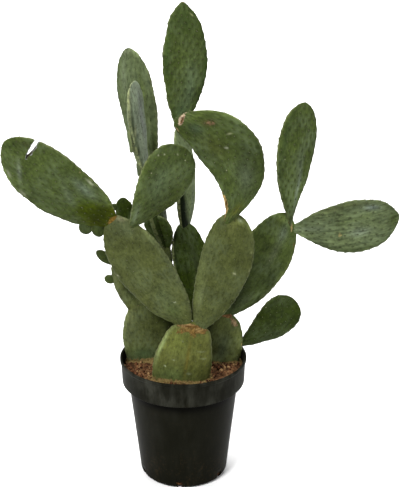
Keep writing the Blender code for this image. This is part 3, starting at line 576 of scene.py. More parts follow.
def cushion(parts, place, normal, along, rng, size):
    """One areole: a low dome of felt, and a few bristles in it."""
    side = np.cross(along, normal)
    side /= np.linalg.norm(side)
    up = np.cross(normal, side)
    wide, long, tall = (part * size * rng.uniform(0.85, 1.2) for part in CUSHION)
    points, faces = [place + normal * tall], []
    for reach, rise in ((0.6, 0.75), (1.0, -0.35)):
        for step in range(CUSHION_SIDES):
            angle = math.tau * step / CUSHION_SIDES
            points.append(place + side * math.cos(angle) * wide * reach
                          + up * math.sin(angle) * long * reach + normal * tall * rise)
    for step in range(CUSHION_SIDES):
        a, b = 1 + step, 1 + (step + 1) % CUSHION_SIDES
        faces.append((0, a, b))
        faces.append((a, a + CUSHION_SIDES, b + CUSHION_SIDES, b))
    parts.add(points, faces, FELT)
    for _ in range(rng.integers(2, 5)):
        foot = place + side * rng.normal() * wide * 0.35 + up * rng.normal() * long * 0.35
        lean = normal + 0.6 * (side * rng.normal() + up * rng.normal())
        tip = foot + lean / np.linalg.norm(lean) * BRISTLE_LENGTH * size * rng.uniform(0.6, 1.2)
        turn = rng.uniform(0, math.tau)
        ring = [foot + BRISTLE_WIDTH * (side * math.cos(turn + a) + up * math.sin(turn + a))
                for a in THIRDS]
        parts.add([*ring, tip], [(0, 1, 3), (1, 2, 3), (2, 0, 3)], BRISTLE)


def ring_points(grid):
    """Grid values in the order of the mesh's points: the inner rings, then the two ends."""
    flat = grid[1:-1].reshape(-1, *grid.shape[2:])
    return np.concatenate([flat, grid[[0], 0], grid[[-1], 0]])


def store(mesh, name, kind, values):
    layer = mesh.attributes.new(name, kind, "POINT")
    key = {"FLOAT": "value", "FLOAT_VECTOR": "vector", "FLOAT_COLOR": "color"}[kind]
    layer.data.foreach_set(key, np.ascontiguousarray(values, np.float32).ravel())


def new_piece(name, mesh):
    piece = bpy.data.objects.new(name, mesh)
    bpy.context.scene.collection.objects.link(piece)
    return piece


def joined(piece, other):
    """Two pieces as one mesh."""
    bpy.ops.object.select_all(action="DESELECT")
    other.select_set(True)
    piece.select_set(True)
    bpy.context.view_layer.objects.active = piece
    bpy.ops.object.join()
    return piece


def carve(target, cutters):
    """Cuts shapes out of a mesh for good, and removes them."""
    for cutter in cutters:
        modifier = target.modifiers.new("cut", "BOOLEAN")
        modifier.operation = "DIFFERENCE"
        modifier.object = cutter
    graph = bpy.context.evaluated_depsgraph_get()
    mesh = bpy.data.meshes.new_from_object(
        target.evaluated_get(graph), preserve_all_data_layers=True, depsgraph=graph)
    target.modifiers.clear()
    target.data = mesh
    for cutter in cutters:
        bpy.data.objects.remove(cutter, do_unlink=True)


# %% [markdown]
# ### Scars, scabs and tones
#
# The marks of the table are worked out at the points of the mesh, where they are smooth. The
# material then breaks up the corks and the bloom with noise, as real scabs and worn bloom are
# broken up, and leaves the tones and the greens of the patches smooth. Cork also grows of itself
# at each joint, where the skin is strained. A mark on the rim wraps round it to the back, and any
# other fades out just behind it.

# %% Marks as masks and colours
IN_FULL_LIGHT = 0.58  # colours are written as this scene's lamps show them, and this takes them back
CORK_REACH = 5 * MM
JOINT_CORK = "#6e5a3c"
MARK_FALL = 1.6


def linear(code):
    """An sRGB hex colour as linear red, green and blue."""
    parts = np.array([int(code[i:i + 2], 16) / 255 for i in (1, 3, 5)])
    return np.where(parts <= 0.04045, parts / 12.92, ((parts + 0.055) / 1.055) ** 2.4)


def on_mark(skin, station, aside, length, width, tilt=0):
    """How strongly a mark covers each point, with a soft edge. One on the rim wraps round it."""
    turn = math.radians(tilt)
    x = skin.aside - aside * np.maximum(skin.half, MM)
    y = (skin.station - station) * skin.paddle.length
    a = (x * math.cos(turn) + y * math.sin(turn)) / (width * MM)
    b = (y * math.cos(turn) - x * math.sin(turn)) / (length * MM)
    behind = -1.3 if abs(aside) >= 0.95 else -0.6
    return np.exp(-(a * a + b * b) * MARK_FALL) * smooth(behind, behind + 0.6, np.sin(skin.phi))


def painted(skin, look):
    """The skin's colour, its tone and bloom, how corky it is, and the colour of the cork."""
    grid = skin.height.shape
    # The pad's shade, set for this scene's lamps, is painted light and shade as well as its own lightness
    tint = np.tile(linear(GREENS[look["green"]]), (*grid, 1)) * look["shade"]
    scar = np.tile(linear(JOINT_CORK), (*grid, 1))
    tone, bloom, cork = np.ones(grid), np.full(grid, look["bloom"]), np.zeros(grid)
    # Tones are painted shadow and highlight for the front view, mixed with the skin's own tone
    for factor, *place in look["tones"]:
        tone *= factor ** on_mark(skin, *place)
    # Patches are other greens, and some of the darkest are painted shadow cast by a neighbouring pad
    for code, strength, *place in look["patches"]:
        cover = np.minimum(on_mark(skin, *place) * strength, 1)
        bloom *= 1 - cover
        tint += (linear(code) - tint) * cover[..., None]
    for code, strength, *place in look["corks"]:
        cover = np.minimum(on_mark(skin, *place) * strength, 1)
        cork += cover
        scar += (linear(code) - scar) * np.minimum(cover * 2, 1)[..., None]
    return tint, tone, bloom, cork, scar


def joint_cork(skin, name):
    """Cork grows where a pad meets the one below it and the ones above it."""
    neighbours = [other for other in PADS if PADS[other]["on"] == name and other.startswith("pad")]
    if name not in ROOTED:
        neighbours.append(PADS[name]["on"])
    points = ring_points(skin.points)
    near = np.full(len(points), 1.0)
    for other in neighbours:
        near = np.minimum(near, distance_to(other, points))
    return np.exp(-(near / CORK_REACH) ** 2)


# %% [markdown]
# ### A torn pad
#
# One pad was once torn by its own weight. The tear opened as a slot that runs inwards from the
# rim, and its sides have dried. It is a real gap, cut out of the mesh, because the light behind
# shows through it.

# %% The tear
SPLIT_STATION = 0.84
SPLIT_SLOPE = math.radians(-9)
SPLIT_GAP = {-24: 9, -8: 7, 0: 6, 12: 7.5, 22: 6.5, 32: 4, 39: 1.2}
SPLIT_STEPS = 16
SPLIT_TEAR = 0.35 * MM
SPLIT_REACH = 30 * MM
SPLIT_CLEAR = 8 * MM


def split_wedge(paddle):
    """The gap of a tear through the pad, from its right-hand rim inwards, with rough sides.

    SPLIT_GAP gives its width at each depth below the rim, both in millimetres.
    """
    theta = math.acos(1 - 2 * SPLIT_STATION)
    height, half, middle, *_ = paddle.section(np.array([theta]))
    mouth = paddle.place(height, middle + half, 0 * half)[0]
    inward = -paddle.across * math.cos(SPLIT_SLOPE) + paddle.along * math.sin(SPLIT_SLOPE)
    wide = np.cross(paddle.out, inward)
    rng = np.random.default_rng(9)
    points, faces = [], []
    depths, gaps = list(SPLIT_GAP), list(SPLIT_GAP.values())
    for run in np.linspace(depths[0], depths[-1], SPLIT_STEPS):
        half_gap = np.interp(run, depths, gaps) / 2 * MM
        for side in (-1, 1):
            for level in (-1, 1):
                tear = SPLIT_TEAR * rng.normal()
                points.append(mouth + inward * run * MM + wide * (side * half_gap + tear)
                              + paddle.out * level * SPLIT_REACH)
    last = 4 * (SPLIT_STEPS - 1)
    for a in range(0, last, 4):
        faces += [(a + i, a + 4 + i, a + 4 + j, a + j) for i, j in ((0, 1), (3, 2), (2, 0), (1, 3))]
    faces += [(0, 1, 3, 2), (last, last + 2, last + 3, last + 1)]
    mesh = bpy.data.meshes.new("split_wedge")
    mesh.from_pydata([tuple(p) for p in points], [], faces)
    for material in (None, None, None, wound):
        mesh.materials.append(material)
    mesh.polygons.foreach_set("material_index", [WOUND] * len(faces))
    return new_piece("split_wedge", mesh)


# %% One pad, whole
def build_pad(name, materials):
    skin, look = skins[name], PADS[name]
    paddle = skin.paddle
    parts = MeshParts()
    parts.add(ring_points(skin.points), grid_faces(skin.rows, skin.columns), SKIN)
    mesh = parts.mesh(name + "_skin", materials)
    shift = np.array([skin.seed * 0.37, skin.seed * 0.11, skin.seed * 0.23])
    face = np.where(skin.front, 0.0, 0.6) + 0 * skin.height
    grain = np.stack([skin.aside, skin.height, face], axis=2)
    rows = np.stack([*skin.numbers, 0 * skin.height], axis=2)
    tint, tone, bloom, cork, scar = painted(skin, look)
    cork = np.clip(ring_points(cork) + look["joint"] * joint_cork(skin, name), 0, 1)
    opaque = np.ones((*skin.height.shape, 1))
    store(mesh, "grain", "FLOAT_VECTOR", ring_points(grain + shift))
    store(mesh, "rows", "FLOAT_VECTOR", ring_points(rows))
    for key, colour in (("tint", tint), ("scar", scar)):
        colour = np.concatenate([colour * IN_FULL_LIGHT, opaque], axis=2)
        store(mesh, key, "FLOAT_COLOR", ring_points(colour))
    for key, values in (("tone", tone), ("rim", skin.rim), ("bloom", bloom)):
        store(mesh, key, "FLOAT", ring_points(values))
    store(mesh, "cork", "FLOAT", cork)
    piece = new_piece(name + "_living", mesh)
    gap = None
    if look["split"]:
        wedge = split_wedge(paddle)
        gap = BVHTree.FromPolygons(
            [v.co for v in wedge.data.vertices], [p.vertices for p in wedge.data.polygons])
        carve(piece, [wedge])
        print("split pad:", len(piece.data.polygons), "faces")
    rng = np.random.default_rng(skin.seed)
    size = 0.6 if paddle.bud else 0.5 + 0.5 * look["spots"]
    parts = MeshParts()
    for place, normal in (*skin.areoles(), *skin.rim_areoles()):
        if gap is None or gap.find_nearest(tuple(place))[3] > SPLIT_CLEAR:
            cushion(parts, place, normal, paddle.along, rng, size)
    piece = joined(piece, new_piece(name + "_areoles", parts.mesh(name + "_areoles", materials)))
    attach(piece, "root")
    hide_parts(name)
    return piece


# %% [markdown]
# ## Materials
#
# Each material is a small network of noise and colour. One function adds a node with its settings
# and links, so that a network reads as a list of steps. Sizes are given in millimetres, because
# the pattern of a real skin has a real size, and a noise scale is one over that size in metres.
# The hex colours are how each surface looks where the lights are full on it. There the lights give
# back more than a white wall would, so the paint is a set share of that colour.

# %% Nodes and shared steps
def new_material(name):
    material = bpy.data.materials.new(name)
    material.use_nodes = True
    tree = material.node_tree
    return material, tree, tree.nodes["Principled BSDF"]


def add(tree, kind, links=None, **settings):
    """Adds a node, sets it, and links or sets its inputs, each known by its identifier."""
    made = tree.nodes.new(kind)
    for key, value in settings.items():
        setattr(made, key, value)
    for key, value in (links or {}).items():
        socket = next(s for s in made.inputs if key in (s.identifier, s.name) and s.enabled)
        if isinstance(value, bpy.types.NodeSocket):
            tree.links.new(value, socket)
        else:
            socket.default_value = value
    return made


def rgba(code, shade=IN_FULL_LIGHT):
    return (*(linear(code) * shade), 1.0)


def step(tree, value, low, high, start=0.0, end=1.0):
    """A smooth step of a value from start to end between low and high."""
    ranged = add(tree, "ShaderNodeMapRange", {
        "Value": value, "From Min": low, "From Max": high, "To Min": start, "To Max": end},
        interpolation_type="SMOOTHSTEP")
    return ranged.outputs["Result"]


def maths(tree, how, *values, clamp=False):
    links = dict(zip(("Value", "Value_001", "Value_002"), values))
    return add(tree, "ShaderNodeMath", links, operation=how, use_clamp=clamp).outputs["Value"]


def plus(tree, first, second):
    return maths(tree, "ADD", first, second)


def minus(tree, first, second):
    return maths(tree, "SUBTRACT", first, second)


def times(tree, first, second, clamp=False):
    return maths(tree, "MULTIPLY", first, second, clamp=clamp)


def from_middle(tree, across, along):
    return maths(tree, "SQRT", plus(
        tree, maths(tree, "POWER", across, 2.0), maths(tree, "POWER", along, 2.0)))


def blend(tree, share, under, over):
    mixed = add(tree, "ShaderNodeMix", {"Factor_Float": share, "A_Color": under, "B_Color": over},
                data_type="RGBA")
    return mixed.outputs[2]


def noise(tree, where, size, detail=3.0, rough=0.55):
    made = add(tree, "ShaderNodeTexNoise", {
        "Vector": where, "Scale": 1 / size, "Detail": detail, "Roughness": rough})
    return made.outputs["Fac"]


def vector(tree, how, first, **links):
    return add(tree, "ShaderNodeVectorMath", dict(Vector=first, **links), operation=how).outputs["Vector"]


def stretched(tree, where, across, along, through=1.0):
    return vector(tree, "MULTIPLY", where, Vector_001=(across, along, through))


def scaled(tree, colour, factor):
    return vector(tree, "SCALE", colour, Scale=factor)


def attribute(tree, name, output):
    return add(tree, "ShaderNodeAttribute", attribute_name=name).outputs[output]


def bump(tree, height, distance, strength):
    links = {"Height": height, "Distance": distance, "Strength": strength}
    return add(tree, "ShaderNodeBump", links).outputs["Normal"]


# %% [markdown]
# ### The living skin
#
# A pad's skin is a clear wax over green flesh. The wax is dull, because it is a crust of fine
# scales, so its highlight is broad and faint. The flesh shows through in blotches a few
# centimetres across and in fibres that run up the pad. Round each areole lies a darker oval, with a
# painted highlight on the small rise just above it, and between them the skin stands up a little
# and its bloom is paler. The rim is paler and yellower, partly from its thicker skin and partly as a
# painted highlight. Cork is dead skin: it is tan to brown, dry, and rough.

# %% Cactus skin
BLOTCH = 24 * MM
PATCH = 9 * MM
FIBRE = 5 * MM
GRAIN = 3.2 * MM
FLAKE = 4 * MM
CLOUD_OF_BLOOM = 38 * MM
OVAL = (1.7 * MM, 3.0 * MM)
OVALS_FADE = 17 * MM
SPECK = 11 * MM
MOTTLE = 0.55
BLOOM = "#7c8b6c"
RIM_GREEN_AND_HIGHLIGHT = "#868d60"
DUST = "#c9c6a4"


def from_areole(tree, grain):
    """How far a point lies from its nearest areole, across the pad and along it, in ovals."""
    jitter = add(tree, "ShaderNodeTexNoise", {"Vector": grain, "Scale": 1 / PATCH, "Detail": 2.0})
    rows = vector(tree, "ADD", attribute(tree, "rows", "Vector"),
                  Vector_001=scaled(tree, jitter.outputs["Color"], 0.34))
    rows = vector(tree, "ADD", rows, Vector_001=(0.33, 0.33, 0.0))
    parts = add(tree, "ShaderNodeSeparateXYZ", {"Vector": vector(tree, "FRACTION", rows)})
    first = minus(tree, parts.outputs["X"], 0.5)
    second = minus(tree, parts.outputs["Y"], 0.5)
    across = times(tree, minus(tree, first, second), ROW_ACROSS / 2 / OVAL[0])
    return across, times(tree, plus(tree, first, second), ROW_ALONG / 2 / OVAL[1])


def skin_material(name, look):
    material, tree, shader = new_material(name + "_waxy_skin")
    grain = attribute(tree, "grain", "Vector")
    rim = attribute(tree, "rim", "Fac")
    away = maths(tree, "SUBTRACT", 1.0, rim, clamp=True)
    blotch = noise(tree, grain, BLOTCH, 4.0, 0.6)
    patch = noise(tree, grain, PATCH, 3.0, 0.6)
    fibre = noise(tree, stretched(tree, grain, 1.0, 0.12), FIBRE, 2.0)
    fine = noise(tree, stretched(tree, grain, 1.0, 0.6), GRAIN, 2.0, 0.6)

    # Flesh under the wax: blotches, patches, fibres and grain
    value = maths(tree, "MULTIPLY_ADD", blotch, 2.4 * MOTTLE, 1 - 1.2 * MOTTLE)
    for part, weight in ((fibre, 1.5 * look["streak"]), (patch, 1.5 * MOTTLE), (fine, 1.2)):
        value = plus(tree, value, times(tree, minus(tree, part, 0.5), weight))
    colour = scaled(tree, attribute(tree, "tint", "Color"), maths(tree, "MAXIMUM", value, 0.25))

    # A dark oval round each areole, and a painted highlight on the small rise above it
    across, along = from_areole(tree, grain)
    reach = from_middle(tree, across, along)
    oval = times(tree, step(tree, reach, 0.3, 1.5, 1.0, 0.0), away)
    oval = times(tree, oval, step(tree, noise(tree, grain, OVALS_FADE, 2.0), 0.3, 0.62, 0.15, 1.0))
    rise = from_middle(tree, across, minus(tree, along, 1.5))
    painted_highlight = times(tree, step(tree, rise, 0.2, 1.3, 1.0, 0.0), away)

    # Bloom lies in clouds, thinner in the ovals and on the fibres' low lines
    bloom = times(tree, step(tree, noise(tree, grain, CLOUD_OF_BLOOM, 3.0), 0.38, 0.66),
                  attribute(tree, "bloom", "Fac"))
    ridge = step(tree, reach, 1.2, 2.3)
    bloom = times(tree, bloom, plus(tree, 0.35, times(tree, ridge, 0.65)))
    paler = times(tree, bloom, step(tree, fibre, 0.25, 0.7, 0.4, 1.0), clamp=True)
    # The pad's shade holds painted light and shade, and the bloom and rim colours follow it
    shade = look["shade"] * IN_FULL_LIGHT
    colour = blend(tree, paler, colour, rgba(BLOOM, shade))
    # Painted highlight: the colour is brightened on the rise above each areole, standing in for the light it
    # catches
    colour = blend(tree, times(tree, painted_highlight, 0.45 * look["spots"]), colour, scaled(tree, colour, 1.7))
    colour = blend(tree, times(tree, oval, 0.75 * look["spots"]), colour, scaled(tree, colour, 0.35))
    # The pale rim: thicker, yellower skin, and a painted highlight along the edge
    edge = times(tree, step(tree, rim, 0.45, 0.95), look["rim"])
    edge = times(tree, edge, step(tree, fine, 0.3, 0.6))
    colour = blend(tree, edge, colour, rgba(RIM_GREEN_AND_HIGHLIGHT, shade))
    # Tones scale the colour: painted shadow and highlight for the front view, mixed with the skin's own
    # colour
    colour = scaled(tree, colour, attribute(tree, "tone", "Fac"))

    # Specks of dust and lime from hard water
    specks = add(tree, "ShaderNodeTexVoronoi", {"Vector": grain, "Scale": 1 / SPECK, "Randomness": 1.0})
    lot = add(tree, "ShaderNodeSeparateXYZ", {"Vector": specks.outputs["Color"]}).outputs["X"]
    dust = times(tree, step(tree, specks.outputs["Distance"], 0.07, 0.13, 1.0, 0.0),
                 step(tree, lot, 0.94, 0.98))
    colour = blend(tree, times(tree, dust, 0.5), colour, rgba(DUST))

    # Cork, with an edge broken by noise, in darker and lighter flakes
    crust = noise(tree, grain, 5 * MM, 4.0, 0.65)
    cork = plus(tree, attribute(tree, "cork", "Fac"), times(tree, minus(tree, crust, 0.5), 1.5))
    cork = step(tree, cork, 0.38, 0.62)
    flake = step(tree, noise(tree, grain, FLAKE, 3.0, 0.7), 0.3, 0.68, 0.35, 1.2)
    colour = blend(tree, cork, colour, scaled(tree, attribute(tree, "scar", "Color"), flake))
    tree.links.new(colour, shader.inputs["Base Color"])

    relief = plus(tree, times(tree, fine, 0.25), times(tree, fibre, 0.35))
    hump = times(tree, step(tree, reach, 0.0, 3.2, 1.0, 0.0), away)
    relief = plus(tree, relief, times(tree, hump, 2.2 * look["spots"]))
    relief = plus(tree, relief, times(tree, cork, plus(tree, 0.4, crust)))
    tree.links.new(bump(tree, relief, 0.8 * MM, 0.8), shader.inputs["Normal"])
    tree.links.new(maths(tree, "MULTIPLY_ADD", cork, 0.35, 0.5), shader.inputs["Roughness"])
    shader.inputs["IOR"].default_value = 1.45
    shader.inputs["Specular IOR Level"].default_value = 0.03
    return material


def plain_fibre(name, dark, light, size, roughness):
    """Felt, straw and dried flesh: two tones in fine grain, with no shine."""
    material, tree, shader = new_material(name)
    where = add(tree, "ShaderNodeTexCoord").outputs["Object"]
    share = step(tree, noise(tree, where, size, 3.0, 0.7), 0.35, 0.65)
    tree.links.new(blend(tree, share, rgba(dark), rgba(light)), shader.inputs["Base Color"])
    tree.links.new(bump(tree, share, 0.4 * MM, 0.7), shader.inputs["Normal"])
    shader.inputs["Roughness"].default_value = roughness
    shader.inputs["Specular IOR Level"].default_value = 0.15
    return material


felt = plain_fibre("areole_felt", "#2a3018", "#575a3c", 1.5 * MM, 0.95)
straw = plain_fibre("glochid_straw", "#7c7e5e", "#b0b294", 2 * MM, 0.6)
wound = plain_fibre("dried_wound", "#26220e", "#544a26", 4 * MM, 0.9)

# %% Build every pad and bud
pads = {name: build_pad(name, [skin_material(name, look), felt, straw, wound])
        for name, look in PADS.items()}
print(sum(len(piece.data.polygons) for piece in pads.values()), "faces of plant")

# %% [markdown]
# ## The pot
#
# A nursery pot is moulded from black polypropylene, with a thin wall and a stiff band round the
# rim to lift it by. The mould leaves its corners slightly round. Handling scuffs the band grey,
# mostly up and down, a painted shadow darkens the wall where it tucks in under the band, and
# splashes of potting mix dry on the lower wall.

# %% The pot, turned from its own profile
POT_SIDES = 144
CORNER = 0.7 * MM
HOLE_SIDES = 24


def profile_of(name):
    """The outline of a turned solid in its first half plane, in order round the outline."""
    points, triangles = triangles_of(name)
    keep = (np.abs(points[:, 1]) < 1e-5) & (points[:, 0] > -1e-6)
    places = {}
    for index in np.nonzero(keep)[0]:
        places[tuple(points[index, [0, 2]].round(6))] = None
    links = {place: set() for place in places}
    flat = [tuple(p) for p in points[:, [0, 2]].round(6)]
    for triangle in triangles:
        kept = [i for i in triangle if keep[i]]
        for a in kept:
            for b in kept:
                if flat[a] != flat[b]:
                    links[flat[a]].add(flat[b])
    start = min(places, key=lambda place: (place[0], place[1]))
    line, before = [start], None
    while True:
        onward = [p for p in links[line[-1]] if p != before and p not in line]
        if not onward:
            return line
        before = line[-1]
        onward.sort(key=lambda p: math.dist(p, line[-1]))
        line.append(onward[0])


def rounded(line):
    """The outline with each corner cut and rounded by a small arc."""
    line = [np.array(p) for p in line]
    made = [line[0]]
    for before, corner, after in zip(line, line[1:], line[2:]):
        back, on = before - corner, after - corner
        reach = min(CORNER, np.linalg.norm(back) / 3, np.linalg.norm(on) / 3)
        start = corner + back / np.linalg.norm(back) * reach
        end = corner + on / np.linalg.norm(on) * reach
        for share in (0.0, 0.33, 0.67, 1.0):
            bent = corner * 2 * share * (1 - share) + start * (1 - share) ** 2 + end * share ** 2
            made.append(bent)
    return made + [line[-1]]


def refined(line, longest):
    made = [line[0]]
    for before, after in zip(line, line[1:]):
        count = max(1, math.ceil(np.linalg.norm(after - before) / longest))
        made += [before + (after - before) * (i + 1) / count for i in range(count)]
    return made


def turned_faces(rings, sides):
    """Quads between rings of points round an axis, and a fan to the point at each end."""
    faces, end = [], 1 + rings * sides
    for k in range(sides):
        n = (k + 1) % sides
        faces.append((0, 1 + n, 1 + k))
        faces.append((end, end - sides + k, end - sides + n))
        for a in range(1, end - sides, sides):
            faces.append((a + k, a + n, a + sides + n, a + sides + k))
    return faces


def lathe(name, line, sides, material):
    """A closed body turned from an outline whose two ends are on the axis."""
    points = [(0.0, 0.0, line[0][1])]
    for radius, height in line[1:-1]:
        points += [(radius * math.cos(math.tau * k / sides), radius * math.sin(math.tau * k / sides), height)
                   for k in range(sides)]
    points.append((0.0, 0.0, line[-1][1]))
    parts = MeshParts()
    parts.add(points, turned_faces(len(line) - 2, sides), 0)
    return new_piece(name, parts.mesh(name, [material]))


def drain_rods(outline_sides):
    """A rod through each drain hole of the solid, found from the points that the holes add to it."""
    points, _ = triangles_of("pot")
    turn = np.degrees(np.arctan2(points[:, 1], points[:, 0])) % 360
    off = np.abs(turn / (360 / outline_sides) - np.round(turn / (360 / outline_sides))) > 0.02
    edge = points[off & (np.hypot(points[:, 0], points[:, 1]) > 0.05)]
    order = np.degrees(np.arctan2(edge[:, 1], edge[:, 0])) % 360
    groups = [[]]
    for index in np.argsort(order):
        if groups[-1] and order[index] - order[groups[-1][-1]] > 20:
            groups.append([])
        groups[-1].append(index)
    rods = []
    for group in groups:
        hole = edge[group]
        middle = (hole.min(0) + hole.max(0)) / 2
        angle = math.atan2(middle[1], middle[0])
        radius = abs((hole - middle) @ np.array([-math.sin(angle), math.cos(angle), 0])).max()
        bpy.ops.mesh.primitive_cylinder_add(vertices=HOLE_SIDES, radius=radius, depth=20 * MM,
                                            location=middle, rotation=(0, math.radians(45), angle))
        rods.append(bpy.context.object)
    return rods


def pot_plastic(band_foot):
    material, tree, shader = new_material("black_polypropylene")
    where = add(tree, "ShaderNodeTexCoord").outputs["Object"]
    height = add(tree, "ShaderNodeSeparateXYZ", {"Vector": where}).outputs["Z"]
    scuff = noise(tree, stretched(tree, where, 1.0, 1.0, 0.3), 16 * MM, 5.0, 0.6)
    cloud = noise(tree, where, 45 * MM, 4.0)
    splash = noise(tree, where, 6 * MM, 4.0, 0.7)
    band = step(tree, height, band_foot - 9 * MM, band_foot + 6 * MM)
    rub = times(tree, step(tree, scuff, 0.3, 0.8), maths(tree, "MULTIPLY_ADD", band, 0.8, 0.12))
    worn = times(tree, rub, step(tree, cloud, 0.3, 0.7, 0.4, 1.0))
    colour = blend(tree, worn, rgba("#17170f"), rgba("#474840"))
    low = step(tree, height, 0.0, 0.12, 1.0, 0.15)
    dirt = step(tree, plus(tree, splash, times(tree, cloud, 0.4)), 0.72, 0.9)
    colour = blend(tree, times(tree, times(tree, low, dirt), 0.5), colour, rgba("#3d3220"))
    # Painted shadow: the wall just under the band is darkened almost to black, where the band shades it
    painted_shadow_under_band = times(tree, step(tree, height, band_foot - 29 * MM, band_foot - 7 * MM),
                   step(tree, height, band_foot - 6 * MM, band_foot - 4 * MM, 1.0, 0.0))
    colour = blend(tree, times(tree, painted_shadow_under_band, 0.85), colour, rgba("#020201"))
    tree.links.new(colour, shader.inputs["Base Color"])
    tree.links.new(maths(tree, "MULTIPLY_ADD", rub, 0.2, 0.42), shader.inputs["Roughness"])
    shader.inputs["IOR"].default_value = 1.49
    shader.inputs["Specular IOR Level"].default_value = 0.015
    tree.links.new(bump(tree, scuff, 0.15 * MM, 0.5), shader.inputs["Normal"])
    return material


POT_OUTLINE_SIDES = 40
pot_line = profile_of("pot")
print("pot outline", [(round(r / MM, 1), round(z / MM, 1)) for r, z in pot_line])
band_foot = min(z for r, z in pot_line if r > 115 * MM)
print("rim band from", round(band_foot / MM, 1), "mm up")
pot = lathe("pot_moulded", refined(rounded(pot_line), 14 * MM), POT_SIDES, pot_plastic(band_foot))
carve(pot, drain_rods(POT_OUTLINE_SIDES))
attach(pot, "root")
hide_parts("pot")

# %% [markdown]
# ## The soil
#
# Potting mix for cacti is peat, coir and bark, watered and dried many times. Its top is a crust of
# crumbs from dust to a centimetre across, with paler bits of bark and a few strands of coir. Round
# the foot of each rooted pad the crust is tan, because hard water runs down the pad and dries there.

# %% Soil surface, crumbs and strands
SOIL_RINGS = 62
SOIL_SIDES = 150
CRUMBS = 800
CRUMB_SIZES = (2 * MM, 11 * MM)
CLEAR_OF_PADS = 6 * MM
STRANDS = 60
STRAND_STEPS = 6
CRUST_REACH = 11 * MM


def soil_material():
    material, tree, shader = new_material("dry_peat_and_coir")
    where = add(tree, "ShaderNodeTexCoord").outputs["Object"]
    coarse = noise(tree, where, 7 * MM, 4.0, 0.7)
    fine = noise(tree, where, 2.2 * MM, 3.0, 0.7)
    patch = noise(tree, where, 26 * MM, 3.0)
    colour = blend(tree, step(tree, coarse, 0.32, 0.68), rgba("#2c1a0c"), rgba("#8e6342"))
    colour = blend(tree, step(tree, fine, 0.5, 0.75, 0.0, 0.7), colour, rgba("#b58b5a"))
    colour = blend(tree, step(tree, patch, 0.45, 0.7, 0.0, 0.6), colour, rgba("#20140a"))
    limed = plus(tree, attribute(tree, "crust", "Fac"), maths(tree, "MULTIPLY_ADD", coarse, 0.8, -0.4))
    lime = blend(tree, step(tree, fine, 0.35, 0.65), rgba("#6a5428"), rgba("#a08a5a"))
    colour = blend(tree, step(tree, limed, 0.35, 0.6), colour, lime)
    tree.links.new(colour, shader.inputs["Base Color"])
    tree.links.new(bump(tree, plus(tree, coarse, fine), 1.2 * MM, 0.9), shader.inputs["Normal"])
    shader.inputs["Roughness"].default_value = 0.95
    shader.inputs["Specular IOR Level"].default_value = 0.1
    return material


soil_line = profile_of("soil")
print("soil outline", [(round(r / MM, 1), round(z / MM, 1)) for r, z in soil_line])


def soil_height(x, y, radius, line):
    """The crust's height: the solid's crown, with lumps of a few sizes."""
    crown = np.interp(radius, [p[0] for p in line], [p[1] for p in line])
    lumps = (1.3 * ripple(x, y, 30 * MM, 1) + 0.9 * ripple(x, y, 12 * MM, 2)
             + 0.6 * ripple(x, y, 6 * MM, 3) + 0.4 * ripple(x, y, 3.5 * MM, 4)) * MM
    return crown + lumps


WALL_TOP = 215 * MM
crown_line = sorted(p for p in soil_line if p[1] > WALL_TOP)
soil_radius = max(p[0] for p in crown_line)
rings = np.linspace(soil_radius, 0, SOIL_RINGS)[:-1, None]
turns = np.linspace(0, math.tau, SOIL_SIDES, endpoint=False)[None, :]
rng = np.random.default_rng(3)
wobble = 0.6 * MM * rng.normal(size=(SOIL_RINGS - 1, SOIL_SIDES))
wobble[0] = 0
x, y = (rings + wobble) * np.cos(turns), (rings + wobble) * np.sin(turns)
z = soil_height(x, y, np.hypot(x, y), crown_line)
z[0] = crown_line[-1][1] + 0.5 * MM
lower = refined([np.array(p) for p in soil_line if p[1] < WALL_TOP], 30 * MM)
wall = [(radius * math.cos(a), radius * math.sin(a), height)
        for radius, height in lower[1:] for a in turns[0]]
top = np.stack([x, y, z], axis=2).reshape(-1, 3)
peak = (0.0, 0.0, float(soil_height(0.0, 0.0, 0.0, crown_line)))
parts = MeshParts()
parts.add([(0.0, 0.0, lower[0][1]), *wall, *top, peak],
          turned_faces(len(lower) + SOIL_RINGS - 2, SOIL_SIDES), 0)

bm = bmesh.new()
bmesh.ops.create_icosphere(bm, subdivisions=1, radius=1.0)
crumb_points = np.array([v.co for v in bm.verts])
crumb_faces = [tuple(v.index for v in f.verts) for f in bm.faces]
bm.free()


def free_place(reach):
    """A place on the soil that no rooted pad stands on."""
    while True:
        radius, turn = soil_radius * reach * math.sqrt(rng.uniform()), rng.uniform(0, math.tau)
        place = np.array([radius * math.cos(turn), radius * math.sin(turn), 0.0])
        place[2] = soil_height(place[0], place[1], radius, crown_line)
        if min(trees[name].find_nearest(tuple(place))[3] for name in ROOTED) > CLEAR_OF_PADS:
            return place


for _ in range(CRUMBS):
    place = free_place(0.98)
    size = CRUMB_SIZES[0] + (CRUMB_SIZES[1] - CRUMB_SIZES[0]) * rng.uniform() ** 2.2
    stretch = np.array([rng.uniform(0.7, 1.5), rng.uniform(0.5, 1.0), rng.uniform(0.4, 0.8)]) * size / 2
    turn = np.linalg.qr(rng.normal(size=(3, 3)))[0]
    turn *= np.linalg.det(turn)
    rough = crumb_points * (1 + 0.22 * rng.normal(size=(len(crumb_points), 1))) * stretch
    parts.add(rough @ turn.T + place + (0, 0, 0.15 * size), crumb_faces, 1 + int(rng.uniform() > 0.7))

